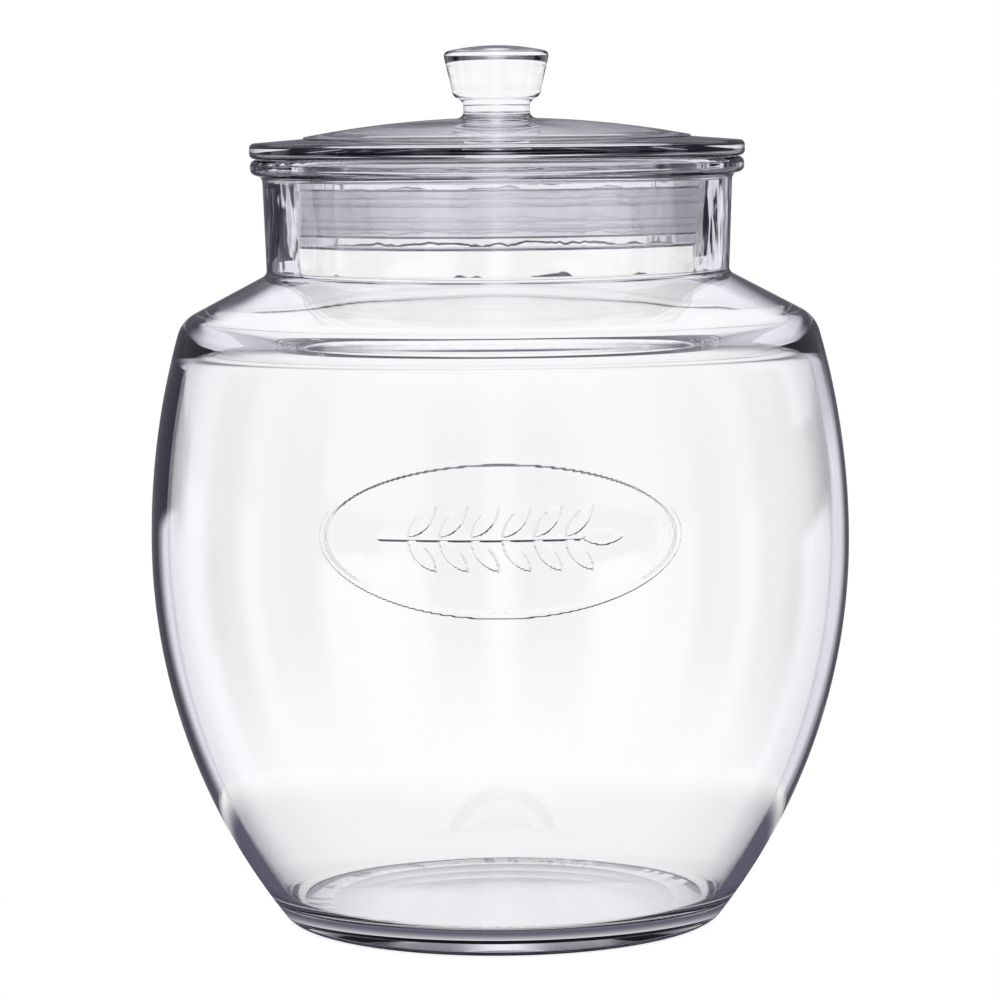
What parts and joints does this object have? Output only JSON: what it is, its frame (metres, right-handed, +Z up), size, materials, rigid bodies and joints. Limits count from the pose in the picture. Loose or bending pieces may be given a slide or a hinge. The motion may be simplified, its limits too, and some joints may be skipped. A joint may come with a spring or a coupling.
{
  "type": "glass storage jar",
  "caption": "Round-bellied clear glass storage jar with a short wide neck and a loose domed glass lid that has a knob, a collar and a silicone sealing ring.",
  "frame": {"origin": "centre of the foot, on the plane that the jar stands on", "axes": "+Z up along the jar's axis through the neck and the knob; -Y points out of the badge on the belly; +X to the right seen from the badge's side"},
  "size_m": [0.2012, 0.202, 0.2518],
  "materials": {
    "clear_glass": "clear pressed soda-lime glass, polished, with faint waviness",
    "lid_glass": "clear pressed soda-lime glass, polished",
    "silicone": "translucent frosted silicone"
  },
  "bodies": {
    "root": {"jar": "clear_glass", "lid": "lid_glass", "seal": "silicone"}
  },
  "joints": []
}
